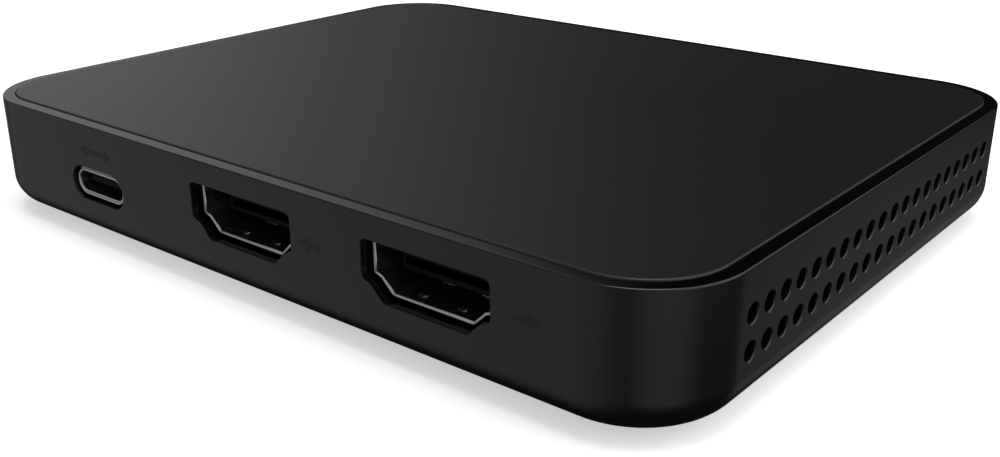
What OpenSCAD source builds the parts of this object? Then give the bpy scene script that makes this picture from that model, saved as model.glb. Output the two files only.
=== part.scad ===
// Video capture box: a low case with two display sockets and a reversible data socket in front,
// vent rows in both sides, and a circuit board with a cooled processor inside.
// Millimetres, +Z up. The front with the sockets faces -Y. The origin is the centre of the
// footprint, on the surface that the feet stand on.

/* [Case] */
// Width of the case, left to right
case_w = 102; // [96:0.5:140]
// Depth of the case, front to back
case_d = 80.5; // [78:0.5:120]
// Height of the case, from its underside to its rim
case_h = 13.8; // [13.6:0.1:24]
// Radius of the four upright corners
corner_r = 10; // [8:0.5:14]
// Thickness of the walls, which is the width of the gloss rim
wall_t = 1.5; // [1.2:0.1:2]
// Thickness of the floor
floor_t = 1.5; // [1.3:0.1:2]
// Radius of the rounded lower edge
bottom_r = 3.7; // [2.5:0.1:4.5]
// Radius of the rim's outer edge
rim_r = 0.2; // [0.1:0.05:0.5]

/* [Top cover] */
// Thickness of the cover's plate
cover_t = 1.6; // [1.2:0.1:1.8]
// Height that the cover stands above the rim
cover_proud = 0.15; // [0:0.05:0.5]
// Gap between the cover's edge and the walls
cover_gap = 0.05; // [0.05:0.05:0.3]
// Radius of the cover's upper edge
cover_edge_r = 0.25; // [0.1:0.05:0.5]
// Width of the ledge that the cover rests on
ledge_w = 1; // [0.6:0.1:1.4]
// Height of that ledge
ledge_h = 0.8; // [0.5:0.1:0.9]
// Width of the locating lip under the cover
lip_w = 1; // [0.8:0.1:1.5]
// Height of the locating lip under the cover
lip_h = 1; // [0.6:0.1:1.2]
// Gap between the locating lip and the ledge
lip_gap = 0.15; // [0.1:0.05:0.4]

/* [Vents] */
// Diameter of a vent hole
vent_d = 1.9; // [1.4:0.1:2.4]
// Spacing of the holes along a row
vent_pitch = 3; // [2.6:0.1:4]
// Spacing of the two rows
vent_row_gap = 3.5; // [2.6:0.1:4]
// Height of the lower row above the case's underside
vent_low_z = 5.85; // [5:0.05:7]
// Least distance from a row's end hole to the upright corner's curve
vent_end = 1.7; // [1.2:0.1:4]

/* [Ports] */
// Spacing of the three sockets
port_pitch = 25; // [20:0.5:27]
// Gap between a display socket's shell and its cut-out at the outer face
display_clear = 0.42; // [0.35:0.01:0.6]
// Gap between the reversible socket's shell and its cut-out at the outer face
data_clear = 0.55; // [0.35:0.05:0.7]
// Thickness of the lip that the front wall has round a cut-out
port_lip = 0.75; // [0.6:0.05:1]
// Widening of a cut-out behind that lip
port_relief = 0.3; // [0.1:0.05:0.3]
// Sheet thickness of the socket shells
shell_t = 0.3; // [0.2:0.05:0.4]
// Width of a shell's legs
leg_w = 1.4; // [1:0.1:1.6]
// Length of a leg below the board
leg_drop = 0.6; // [0.3:0.1:0.9]
// Clearance round a leg in its slot in the board
leg_clear = 0.15; // [0.1:0.05:0.3]
// Distance of the front legs behind a display socket's mouth
display_leg_front = 2.6; // [2.2:0.1:3.5]
// Distance of the rear legs behind a display socket's mouth
display_leg_rear = 8.4; // [7:0.1:9]
// Distance of the front legs behind the reversible socket's mouth
data_leg_front = 2.4; // [2.2:0.1:3]
// Distance of the rear legs behind the reversible socket's mouth
data_leg_rear = 5.8; // [5:0.1:6]
// Gap between an insulator and the shell round it
insulator_gap = 0.03; // [0.01:0.01:0.08]
// Distance from a tongue's tip to its contacts
contact_tip_gap = 0.6; // [0.4:0.1:1]
// Distance of the lower contacts' tails behind a shell
tail_low = 0.5; // [0.3:0.1:0.6]
// Distance of the upper contacts' tails behind a shell
tail_high = 1.5; // [1.3:0.1:2]
// Length of a contact's foot on the board
contact_foot = 0.5; // [0.3:0.1:0.6]

/* [Display sockets] */
// Width of the opening
display_w = 14; // [13.8:0.05:14.2]
// Height of the opening
display_h = 4.55; // [4.4:0.05:4.7]
// Width of the opening's flat bottom
display_flat_w = 9.6; // [9:0.1:10.4]
// Width of the opening at its shoulders
display_shoulder_w = 12.3; // [11.6:0.1:12.8]
// Height of the shoulders above the opening's bottom
display_shoulder_z = 1.35; // [1.1:0.05:1.5]
// Height of the opening's upright sides' lower ends
display_side_z = 1.65; // [1.55:0.05:2]
// Depth of the mouth behind the case's front face
display_recess = 1.3; // [0.5:0.1:1.4]
// Length of the shell
display_len = 10.6; // [9.5:0.1:12]
// Height of the shell above the board
display_lift = 0.45; // [0.2:0.05:0.6]
// Width of the tongue
display_tongue_w = 11.4; // [11:0.1:11.8]
// Thickness of the tongue
display_tongue_t = 1.8; // [1.6:0.1:2]
// Height of the tongue's underside above the opening's bottom
display_tongue_z = 1.55; // [1.4:0.05:1.7]
// Depth of the tongue's tip behind the mouth
display_tongue_y = 2.1; // [1.5:0.1:3]
// Length of the block at the back of the shell that holds the contacts
display_block_len = 3; // [2.5:0.1:3.5]
// Spacing of the contacts on one side of the tongue
display_pitch = 1; // [0.9:0.05:1.05]
// Width of a contact
display_contact_w = 0.36; // [0.3:0.02:0.42]
// Thickness of a contact
display_contact_t = 0.16; // [0.12:0.02:0.2]
// Depth of a contact's groove in the tongue
display_groove = 0.1; // [0.06:0.01:0.12]
// Chamfer round the tongue's tip
tongue_chamfer = 0.15; // [0.1:0.05:0.4]
// Depth of the slot in the tongue's tip
tongue_slot_y = 1.5; // [0.8:0.1:2]
// Height of that slot
tongue_slot_h = 0.9; // [0.7:0.05:0.9]
// Distance of that slot from the tongue's ends
tongue_slot_end = 0.5; // [0.4:0.05:0.7]
// Distance of that slot from the tongue's upper side
tongue_slot_top = 0.3; // [0.3:0.05:0.4]
// Radius of the tongue's long edges
tongue_r = 0.6; // [0.55:0.05:0.75]
// Width of a retaining spring in the shell
spring_w = 1.5; // [1.2:0.1:2]
// Thickness of a retaining spring's leaf
spring_t = 0.2; // [0.15:0.01:0.2]
// Length of a retaining spring
spring_len = 4; // [3:0.1:5]
// Distance of each retaining spring from the socket's middle
spring_x = 2.4; // [2:0.1:3]
// Height that a retaining spring's leaf stands into the opening
spring_rise = 0.06; // [0.02:0.02:0.08]
// Diameter of the dimple near a retaining spring's tip
dimple_d = 1; // [0.6:0.1:1.2]
// Height of that dimple
dimple_h = 0.12; // [0.06:0.02:0.12]
// Distance of a spring's tip behind the mouth
spring_tip = 1.1; // [0.8:0.1:1.6]
// Width of the slot that frees a spring
spring_slot_w = 0.25; // [0.15:0.05:0.3]

/* [Reversible socket] */
// Width of the opening
data_w = 8.34; // [8.3:0.02:8.4]
// Height of the opening
data_h = 2.56; // [2.5:0.02:2.6]
// Depth of the mouth behind the case's front face
data_recess = 0.5; // [0.3:0.1:1.2]
// Length of the shell
data_len = 7.3; // [6.5:0.1:9]
// Width of the tongue
data_tongue_w = 6.69; // [6.4:0.01:6.9]
// Thickness of the tongue
data_tongue_t = 0.7; // [0.6:0.05:0.8]
// Depth of the tongue's tip behind the mouth
data_tongue_y = 0.9; // [0.5:0.1:1.5]
// Length of the block at the back of the shell that holds the contacts
data_block_len = 2; // [1.6:0.1:2.6]
// Spacing of the contacts on one side of the tongue
data_pitch = 0.5; // [0.45:0.01:0.52]
// Width of a contact
data_contact_w = 0.26; // [0.2:0.02:0.3]
// Thickness of a contact
data_contact_t = 0.1; // [0.08:0.01:0.12]
// Depth of a contact's groove in the tongue
data_groove = 0.06; // [0.04:0.01:0.07]

/* [Board] */
// Thickness of the circuit board
board_t = 1.6; // [1.2:0.1:1.8]
// Height of the standoffs under the board
standoff_h = 2.2; // [2:0.1:2.6]
// Diameter of the standoffs
standoff_d = 5; // [4.2:0.1:5.4]
// Gap between the board's edge and the walls at the sides and back
board_gap = 2.5; // [2:0.1:3]
// Gap between the board's edge and the front wall
board_front_gap = 0.85; // [0.5:0.05:1.2]
// Distance of the board screws from the board's side edges
board_screw_inset = 3.5; // [3:0.1:5]
// Distance of the board screws from the middle, front and back
board_screw_y = 16; // [10:0.5:18]
// Gap round the posts where they pass through the board
board_post_gap = 0.5; // [0.3:0.1:0.8]
// Width of the ribs that take the push of a plug
rib_w = 6; // [4:0.5:7]
// Thickness of those ribs
rib_t = 1.4; // [1:0.1:2]
// Distance of those ribs behind the board's front edge
rib_y = 4; // [3:0.5:8]

/* [Fasteners and feet] */
// Diameter of the screws' shanks
screw_d = 2; // [1.6:0.1:2.2]
// Diameter of the screw heads
head_d = 3.8; // [3.2:0.1:4.2]
// Height of the screw heads
head_h = 1.3; // [1:0.1:1.5]
// Width of the cross recess in a screw head
recess_t = 0.55; // [0.4:0.05:0.7]
// Length of the cross recess, end to end
recess_w = 2.4; // [1.8:0.1:2.6]
// Depth of the cross recess
recess_h = 0.65; // [0.4:0.05:0.8]
// Clearance round a screw where it passes through
screw_clear = 0.2; // [0.1:0.05:0.3]
// Clearance round a screw in the hole that it grips
grip_clear = 0.02; // [0:0.01:0.05]
// Length of a board screw inside its standoff
board_screw_grip = 1.8; // [1.4:0.1:2]
// Length of a cover screw inside the cover's post
cover_screw_grip = 2.2; // [1.6:0.1:3]
// Height of a cover screw's head above the foot that hides it
head_sink = 1.6; // [0.4:0.1:2]
// Diameter of the posts that the cover screws join
post_d = 7; // [6:0.1:7.4]
// Distance of the posts from the case's sides
post_inset = 10; // [10:0.5:12]
// Height of the floor's posts above the case's underside
post_h = 8.6; // [7:0.1:9]
// Diameter of the rubber feet
foot_d = 9; // [7:0.1:10]
// Height that the feet stand below the case
foot_proud = 0.8; // [0.5:0.1:2]
// Depth of the recess that holds a foot
foot_recess = 0.6; // [0.4:0.1:0.8]
// Gap round a foot in its recess
foot_gap = 0.1; // [0.05:0.05:0.3]
// Radius of a foot's lower edge
foot_r = 0.4; // [0.2:0.1:0.5]

/* [Cooling] */
// Width and depth of the heat sink
sink_w = 36; // [28:0.5:38]
// Thickness of the heat sink's base
sink_base_t = 1.4; // [1:0.1:1.6]
// Height of the heat sink's fins
fin_h = 2.4; // [1.5:0.1:2.6]
// Thickness of a fin
fin_t = 0.9; // [0.6:0.1:1.2]
// Number of fins
fin_count = 11; // [6:1:12]
// Thickness of the thermal pad
pad_t = 0.5; // [0.3:0.1:0.6]
// Width and depth of the processor
processor_w = 15; // [12:0.5:18]
// Height of the processor
processor_h = 1.3; // [1.1:0.1:1.4]

/* [Parts on the board] */
// Standing height of a chip's body on its leads
chip_lift = 0.06; // [0.02:0.02:0.1]
// Width of the display receiver
receiver_w = 10; // [8:0.5:11]
// Width of the display repeater and of the serial bridge
bridge_w = 9; // [7:0.5:10]
// Height of the flat chips
flat_h = 0.9; // [0.7:0.1:1.1]
// Spacing of the flat chips' leads
lead_pitch = 0.5; // [0.4:0.05:0.65]
// Length of a flat chip's lead
lead_len = 0.5; // [0.3:0.05:0.8]
// Length of a flat chip's lead that shows beside its body
lead_out = 0.3; // [0.05:0.05:0.3]
// Thickness of a flat chip's lead
lead_t = 0.2; // [0.15:0.05:0.3]
// Thickness of the carrier under a grid-array chip
carrier_t = 0.45; // [0.3:0.05:0.6]
// Width of the carrier that shows round a grid-array chip's moulded top
carrier_edge = 0.6; // [0.3:0.1:1]
// Size of a memory chip
memory_size = [9, 8, 1]; // [0.8:0.1:12]
// Size of the firmware chip's body
flash_size = [5.2, 5.2, 1.7]; // [1.4:0.1:6]
// Size of one of the firmware chip's leads
flash_lead = [0.45, 1.2, 0.25]; // [0.2:0.05:1.4]
// Length of a firmware chip's lead under its body
flash_lead_in = 0.4; // [0.2:0.1:0.8]
// Spacing of the firmware chip's leads
flash_pitch = 1.27; // [1:0.01:1.27]
// Gap between neighbouring chips
chip_gap = 1; // [0.8:0.1:2]
// Size of a crystal's can
crystal_size = [3.2, 2.5, 0.8]; // [0.6:0.1:4]
// Width of the seam round a crystal's lid
crystal_seam = 0.2; // [0.1:0.05:0.4]
// Width of a power inductor
inductor_w = 5; // [4:0.1:6]
// Height of a power inductor
inductor_h = 2.8; // [2:0.1:4]
// Size of an inductor's terminal
terminal_size = [1.2, 3.5, 0.12]; // [0.1:0.02:4]
// Width of a voltage regulator
regulator_w = 4; // [3:0.5:5]
// Size of a bulk capacitor
bulk_size = [3.5, 2.8, 1.9]; // [1.5:0.1:4]
// Size of a small ceramic capacitor
ceramic_size = [1, 0.55, 0.5]; // [0.3:0.05:1.6]
// Size of a chip resistor
resistor_size = [1, 0.5, 0.35]; // [0.3:0.05:1.6]
// Number of small parts in a row
small_count = 5; // [3:1:5]
// Spacing of small parts in a row
small_pitch = 2; // [1.7:0.1:2.1]
// Size of a surge protection array
surge_size = [2.5, 1, 0.55]; // [0.5:0.05:3]
// Size of a line choke
choke_size = [1.25, 1, 0.7]; // [0.5:0.05:2]
// Distance from the display sockets' feet back to the surge arrays
surge_back = 3.5; // [2.5:0.1:5]
// Distance from the surge arrays back to the line chokes
choke_back = 2.4; // [1.5:0.1:4]
// Distance from the line chokes back to the flat chips
chip_back = 8; // [7:0.5:10]
// Distance from the flat chips back to the processor
processor_back = 22.5; // [18:0.5:24]
// Distance from the heat sink's edge to the first power part
power_gap = 9; // [7:0.5:10]
// Spacing of the power parts, across and along the board
power_step = [8, 9]; // [7:0.5:10]
// Distance from a chip's edge to a row of small parts
row_gap = 2; // [1.5:0.1:3]

/* [Hidden] */
$fn = 48;

// A cut that has to pass a face goes this far beyond it
past = 1;

// Places, measured from the middle of the case's underside
inner_w = case_w - 2 * wall_t;
inner_d = case_d - 2 * wall_t;
inner_r = corner_r - wall_t;
inner_bottom_r = bottom_r - wall_t;
cover_top = case_h + cover_proud;
cover_under = cover_top - cover_t;
front_y = -case_d / 2;
board_under = floor_t + standoff_h;
board_top = board_under + board_t;
board_w = inner_w - 2 * board_gap;
board_front = front_y + wall_t + board_front_gap;
board_back = case_d / 2 - wall_t - board_gap;
board_r = inner_r - board_gap;
post_x = case_w / 2 - post_inset;
post_y = case_d / 2 - post_inset;
board_screw_x = board_w / 2 - board_screw_inset;

// Height of the seat for a cover screw's head
screw_seat = foot_recess + head_h + head_sink;

// The sockets
display_floor = board_top + display_lift + shell_t;
display_mouth = front_y + display_recess;
display_leg_x = display_w / 2 + shell_t / 2;
display_leg_y = [display_leg_front, display_leg_rear];
data_middle = board_top + shell_t + data_h / 2;
data_mouth = front_y + data_recess;
data_leg_x = data_w / 2 + shell_t / 2;
data_leg_y = [data_leg_front, data_leg_rear];
data_x = -port_pitch;
display_in_x = 0;
display_out_x = port_pitch;

// Contacts above and below each tongue
display_rows = [10, 9];
data_rows = [12, 12];

// Rows of parts on the board, from the front back
surge_y = display_mouth + display_len + tail_high + contact_foot + surge_back;
choke_y = surge_y + choke_back;
chip_y = choke_y + chip_back;
processor_at = [0, chip_y + processor_back];
sink_under = board_top + processor_h + pad_t;

// Middles of the parts on the board
receiver_at = [display_in_x, chip_y];
repeater_at = [display_out_x, chip_y];
bridge_at = [data_x, chip_y];
memory_x = processor_at.x - processor_w / 2 - chip_gap - memory_size.x / 2;
memory_at = [
    for (side = [-1, 1]) [memory_x, processor_at.y + side * (memory_size.y + chip_gap) / 2]
];
power_at = [sink_w / 2 + power_gap, processor_at.y - power_step.x];
left_at = [-power_at.x, power_at.y];
inductor_at = [power_at, power_at + [0, power_step.y], power_at + [power_step.x, 0]];
regulator_at = [
    power_at + power_step, power_at + [0, 2 * power_step.y], left_at - [power_step.x, power_step.y]
];
flash_at = left_at;
bulk_at = [
    left_at + [0, 2 * power_step.y], left_at + [-power_step.x, 0],
    left_at + [-power_step.x, power_step.y], power_at + [power_step.x, 2 * power_step.y]
];
crystal_at = [
    [data_x, surge_y], [receiver_at.x + (receiver_w + crystal_size.x) / 2 + row_gap, chip_y],
    left_at + [0, power_step.y]
];
ceramic_rows = [
    processor_at + [0, processor_w / 2 + row_gap], processor_at + [0, processor_w / 2 + 2 * row_gap],
    receiver_at + [0, receiver_w / 2 + row_gap], repeater_at + [0, bridge_w / 2 + row_gap],
    bridge_at + [0, bridge_w / 2 + row_gap]
];
resistor_rows = [
    [port_pitch / 2, choke_y], [-port_pitch / 2, choke_y],
    repeater_at + [bridge_w / 2 + row_gap + (small_count - 1) * small_pitch / 2, 0]
];
surge_x = [-3, 3];
choke_x = [-4.5, -1.5, 1.5, 4.5];

// Everything stands on the feet
module on_feet() {
    translate([0, 0, foot_proud]) children();
}

// Section of a box's side: half_w wide, from z0 to z1, with its outer edges rounded
module side_section(half_w, z0, z1, low_r, top_r) {
    difference() {
        translate([0, z0]) square([half_w, z1 - z0]);
        if (low_r > 0) edge_cut(half_w, z0, low_r, 1);
        if (top_r > 0) edge_cut(half_w, z1, top_r, -1);
    }
}

// What a round of radius r takes off the corner at [x, z], below (up = 1) or above (up = -1) a box
module edge_cut(x, z, r, up) {
    difference() {
        translate([x - r, up > 0 ? z - past : z - r]) square([r + past, r + past]);
        translate([x - r, z + up * r]) circle(r);
        translate([x - r - past, up > 0 ? z - past : z - r]) square([past, r + past]);
    }
}

// Box with upright corners of radius r and its lower and upper edges rounded all round
module soft_box(w, d, r, z0, z1, low_r, top_r) {
    rotate([90, 0, 0]) linear_extrude(d - 2 * r, center = true) {
        for (side = [0, 1]) mirror([side, 0]) side_section(w / 2, z0, z1, low_r, top_r);
    }
    rotate([90, 0, 90]) linear_extrude(w - 2 * r, center = true) {
        for (side = [0, 1]) mirror([side, 0]) side_section(d / 2, z0, z1, low_r, top_r);
    }
    for (corner = [0:3]) {
        x = (corner == 0 || corner == 3 ? 1 : -1) * (w / 2 - r);
        y = (corner < 2 ? 1 : -1) * (d / 2 - r);
        translate([x, y, 0]) rotate([0, 0, 90 * corner]) rotate_extrude(angle = 90)
            side_section(r, z0, z1, low_r, top_r);
    }
}

// Outline of a rectangle with round corners
module round_rect(w, d, r) {
    square([w - 2 * r, d], center = true);
    square([w, d - 2 * r], center = true);
    for (x = [-1, 1], y = [-1, 1]) translate([x * (w / 2 - r), y * (d / 2 - r)]) circle(r);
}

function unit(v) = v / norm(v);
function outward(v) = [v.y, -v.x];

// Points of an outline grown by g, with its outer corners as arcs of a few steps
function grown(points, g, steps = 6) = [
    for (i = [0:len(points) - 1])
        let (
            before = unit(points[i] - points[(i + len(points) - 1) % len(points)]),
            after = unit(points[(i + 1) % len(points)] - points[i]),
            n1 = outward(before),
            n2 = outward(after),
            turn = acos(min(1, n1 * n2)),
            start = atan2(n1.y, n1.x)
        )
        each cross(before, after) > 0 && g > 0
            ? [for (k = [0:steps]) let (a = start + turn * k / steps) points[i] + g * [cos(a), sin(a)]]
            : [points[i] + g * (n1 + n2) / (1 + n1 * n2)]
];

// Outline of a display socket's opening, from its bottom up
display_outline = [
    [-display_flat_w / 2, 0], [display_flat_w / 2, 0],
    [display_shoulder_w / 2, display_shoulder_z], [display_w / 2, display_side_z],
    [display_w / 2, display_h], [-display_w / 2, display_h],
    [-display_w / 2, display_side_z], [-display_shoulder_w / 2, display_shoulder_z]
];

// Slot of width w and height h: straight sides and half-round ends
module slot_outline(w, h) {
    square([w - h, h], center = true);
    for (x = [-1, 1]) translate([x * (w - h) / 2, 0]) circle(h / 2);
}

// Outline of the reversible socket's opening grown by g
module data_outline(g) {
    slot_outline(data_w + 2 * g, data_h + 2 * g);
}

// Upright outline pushed back from the plane y, for len
module pushed_back(x, y, z, len) {
    translate([x, y + len, z]) rotate([90, 0, 0]) linear_extrude(len) children();
}

// The four places of the cover posts, and of the board screws
module at_posts() {
    for (x = [-1, 1], y = [-1, 1]) translate([x * post_x, y * post_y, 0]) children();
}
module at_board_screws() {
    for (x = [-1, 1], y = [-1, 1]) translate([x * board_screw_x, y * board_screw_y, 0]) children();
}

// A socket's cut-out in the front wall, wider behind the lip
module display_cutout(x) {
    outer = shell_t + display_clear;
    pushed_back(x, front_y - past, display_floor, past + wall_t)
        polygon(grown(display_outline, outer));
    pushed_back(x, front_y + port_lip, display_floor, wall_t + past - port_lip)
        polygon(grown(display_outline, outer + port_relief));
}
module data_cutout() {
    outer = shell_t + data_clear;
    pushed_back(data_x, front_y - past, data_middle, past + wall_t) data_outline(outer);
    pushed_back(data_x, front_y + port_lip, data_middle, wall_t + past - port_lip)
        data_outline(outer + port_relief);
}

// Both rows of vent holes, right through the two side walls
module vent_holes() {
    span = case_d - 2 * corner_r - 2 * vent_end;
    count = floor(span / vent_pitch) + 1;
    for (side = [-1, 1], row = [0, 1], i = [0:count - 1]) {
        y = (i - (count - 1) / 2) * vent_pitch;
        translate([side * (case_w / 2 - wall_t / 2), y, vent_low_z + row * vent_row_gap])
            rotate([0, 90, 0]) cylinder(d = vent_d, h = wall_t + 2 * past, center = true, $fn = 32);
    }
}

// Ledge inside the walls that the cover rests on
module cover_ledge() {
    low = cover_under - ledge_h;
    difference() {
        soft_box(inner_w + wall_t, inner_d + wall_t, inner_r + wall_t / 2, low, cover_under, 0, 0);
        soft_box(inner_w - 2 * ledge_w, inner_d - 2 * ledge_w, inner_r - ledge_w,
                 low - past, cover_under + past, 0, 0);
    }
}

module lower_case() {
    color("#242526") on_feet() difference() {
        union() {
            difference() {
                soft_box(case_w, case_d, corner_r, 0, case_h, bottom_r, rim_r);
                soft_box(inner_w, inner_d, inner_r, floor_t, case_h + past, inner_bottom_r, 0);
            }
            cover_ledge();
            at_posts() cylinder(d = post_d, h = post_h);
            at_board_screws() cylinder(d = standoff_d, h = board_under);
            for (x = [data_x, display_in_x, display_out_x]) port_rib(x);
        }
        display_cutout(display_in_x);
        display_cutout(display_out_x);
        data_cutout();
        vent_holes();
        at_posts() {
            translate([0, 0, -past]) cylinder(d = foot_d + 2 * foot_gap, h = past + foot_recess);
            translate([0, 0, -past]) cylinder(d = head_d + 2 * screw_clear, h = past + screw_seat);
            translate([0, 0, -past]) cylinder(d = screw_d + 2 * screw_clear, h = post_h + 2 * past);
        }
        at_board_screws() translate([0, 0, floor_t])
            cylinder(d = screw_d + 2 * grip_clear, h = standoff_h + past);
    }
}

// Rib under the board, joined to the floor, that takes the push of a plug
module port_rib(x) {
    translate([x - rib_w / 2, board_front + rib_y, floor_t / 2])
        cube([rib_w, rib_t, board_under - floor_t / 2]);
}

module top_cover() {
    plate_w = inner_w - 2 * cover_gap;
    plate_d = inner_d - 2 * cover_gap;
    lip_out = ledge_w + lip_gap;
    lip_in = lip_out + lip_w;
    color("#2b2c2d") on_feet() difference() {
        union() {
            soft_box(plate_w, plate_d, inner_r - cover_gap, cover_under, cover_top, 0, cover_edge_r);
            difference() {
                soft_box(inner_w - 2 * lip_out, inner_d - 2 * lip_out, inner_r - lip_out,
                         cover_under - lip_h, cover_under + cover_t / 2, 0, 0);
                soft_box(inner_w - 2 * lip_in, inner_d - 2 * lip_in, inner_r - lip_in,
                         cover_under - lip_h - past, cover_under, 0, 0);
            }
            at_posts() translate([0, 0, post_h]) cylinder(d = post_d, h = cover_under + cover_t / 2 - post_h);
        }
        at_posts() translate([0, 0, post_h - past])
            cylinder(d = screw_d + 2 * grip_clear, h = past + cover_under - post_h);
        for (x = [display_in_x, display_out_x]) lip_notch(x);
    }
}

// Cut in the cover's lip that clears a display socket
module lip_notch(x) {
    half_w = display_w / 2 + shell_t + display_clear;
    translate([x - half_w, front_y + wall_t, cover_under - lip_h - past])
        cube([2 * half_w, ledge_w + lip_gap + lip_w + past, lip_h + past]);
}

module rubber_feet() {
    height = foot_proud + foot_recess;
    color("#1a1a1a") at_posts() rotate_extrude() difference() {
        square([foot_d / 2, height]);
        edge_cut(foot_d / 2, 0, foot_r, 1);
    }
}

// Screw with its head at z = 0 and its shank upwards, with a cross recess below
module screw(len) {
    difference() {
        union() {
            translate([0, 0, -head_h]) cylinder(d = head_d, h = head_h);
            cylinder(d = screw_d, h = len);
        }
        for (turn = [0, 90]) rotate([0, 0, turn])
            translate([-recess_w / 2, -recess_t / 2, -head_h - past])
            cube([recess_w, recess_t, past + recess_h]);
    }
}

module cover_screws() {
    color("#8f9296") on_feet() at_posts() translate([0, 0, screw_seat])
        screw(post_h - screw_seat + cover_screw_grip);
}

module board_screws() {
    color("#8f9296") on_feet() at_board_screws() translate([0, 0, board_top])
        rotate([180, 0, 0]) screw(board_t + board_screw_grip);
}

// Places of a shell's legs in the board, left and right of x, behind the mouth
module at_legs(x, half_w, mouth, places) {
    for (side = [-1, 1], y = places) translate([x + side * half_w, mouth + y, 0]) children();
}

module leg_slot() {
    translate([-shell_t / 2 - leg_clear, -leg_w / 2 - leg_clear, board_under - past])
        cube([shell_t + 2 * leg_clear, leg_w + 2 * leg_clear, board_t + 2 * past]);
}
module leg(top) {
    low = board_under - leg_drop;
    translate([-shell_t / 2, -leg_w / 2, low]) cube([shell_t, leg_w, top - low]);
}

module main_board() {
    color("#14301f") on_feet() difference() {
        translate([0, (board_front + board_back) / 2, board_under]) linear_extrude(board_t)
            round_rect(board_w, board_back - board_front, board_r);
        at_posts() translate([0, 0, board_under - past])
            cylinder(d = post_d + 2 * board_post_gap, h = board_t + 2 * past);
        at_board_screws() translate([0, 0, board_under - past])
            cylinder(d = screw_d + 2 * screw_clear, h = board_t + 2 * past);
        at_legs(display_in_x, display_leg_x, display_mouth, display_leg_y) leg_slot();
        at_legs(display_out_x, display_leg_x, display_mouth, display_leg_y) leg_slot();
        at_legs(data_x, data_leg_x, data_mouth, data_leg_y) leg_slot();
    }
}

// Retaining spring cut from a display socket's shell, its tip bent into the opening
module spring_slot() {
    translate([-spring_w / 2 - spring_slot_w, spring_tip - spring_slot_w, -past])
        cube([spring_w + 2 * spring_slot_w, spring_len + spring_slot_w, 2 * past]);
}
module spring() {
    root = spring_tip + spring_len;
    bend = spring_tip + dimple_d / 2;
    hold = root + spring_t;
    tip = spring_rise - dimple_h;
    dimple_r = (dimple_d * dimple_d / 4 + dimple_h * dimple_h) / (2 * dimple_h);
    rotate([90, 0, 90]) linear_extrude(spring_w, center = true) polygon([
        [hold, -shell_t], [hold, -shell_t + spring_t], [root, -shell_t + spring_t], [bend, spring_rise],
        [spring_tip, tip], [spring_tip, tip - spring_t], [bend, spring_rise - spring_t], [root, -shell_t]
    ]);
    translate([0, bend, 0]) intersection() {
        translate([0, 0, spring_rise + dimple_h - dimple_r]) sphere(dimple_r);
        translate([0, 0, spring_rise - spring_t]) cylinder(d = dimple_d, h = spring_t + dimple_h);
    }
}

// Places a spring on the opening's bottom, or turned over on its top
module at_springs() {
    for (x = [-1, 1]) translate([x * spring_x, 0, 0]) {
        children();
        translate([0, 0, display_h]) mirror([0, 0, 1]) children();
    }
}

module display_shell(x) {
    color("#b9bcc0") on_feet() {
        difference() {
            pushed_back(x, display_mouth, display_floor, display_len)
                polygon(grown(display_outline, shell_t));
            pushed_back(x, display_mouth - past, display_floor, display_len + 2 * past)
                polygon(display_outline);
            translate([x, display_mouth, display_floor]) at_springs() spring_slot();
        }
        translate([x, display_mouth, display_floor]) at_springs() spring();
        at_legs(x, display_leg_x, display_mouth, display_leg_y) leg(display_floor + display_side_z + leg_w);
    }
}

// Path of a contact seen from the side: along the tongue at height z, back through the block to y2,
// down to the board, and out along it
module contact_path(y1, y2, z, t) {
    y3 = y2 + contact_foot;
    polygon([
        [y1, z], [y2, z], [y2, board_top + t], [y3, board_top + t],
        [y3, board_top], [y2 - t, board_top], [y2 - t, z - t], [y1, z - t]
    ]);
}

// One row of count contacts
module contact_row(x, count, pitch, w) {
    for (i = [0:count - 1]) translate([x + (i - (count - 1) / 2) * pitch, 0, 0])
        rotate([90, 0, 90]) linear_extrude(w, center = true) children();
}

module display_contact_rows(x) {
    tip = display_mouth + display_tongue_y + contact_tip_gap;
    back = display_mouth + display_len;
    t = display_contact_t;
    under = display_floor + display_tongue_z;
    contact_row(x, display_rows[0], display_pitch, display_contact_w)
        contact_path(tip, back + tail_high, under + display_tongue_t - display_groove + t, t);
    contact_row(x, display_rows[1], display_pitch, display_contact_w)
        contact_path(tip, back + tail_low, under + display_groove, t);
}

module display_contacts(x) {
    color("#c8a24a") on_feet() display_contact_rows(x);
}

// Outline of a bar of width w from its tip at y = 0 back to len, with a chamfer c at the tip
module tip_outline(w, len, c) {
    polygon([
        [-w / 2 + c, 0], [w / 2 - c, 0], [w / 2, c], [w / 2, len], [-w / 2, len], [-w / 2, c]
    ]);
}

// Bar from its tip at y = 0 back to len, its long edges rounded by r, with a chamfer c round its tip
module tongue_bar(w, t, len, r, c) {
    linear_extrude(t - 2 * r, center = true) tip_outline(w, len, c);
    rotate([0, 90, 0]) linear_extrude(w - 2 * r, center = true) tip_outline(t, len, c);
    for (x = [-1, 1], z = [-1, 1])
        translate([x * (w / 2 - r), 0, z * (t / 2 - r)]) rotate([-90, 0, 0]) {
            cylinder(r1 = r - c, r2 = r, h = c);
            translate([0, 0, c]) cylinder(r = r, h = len - c);
        }
}

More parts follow.
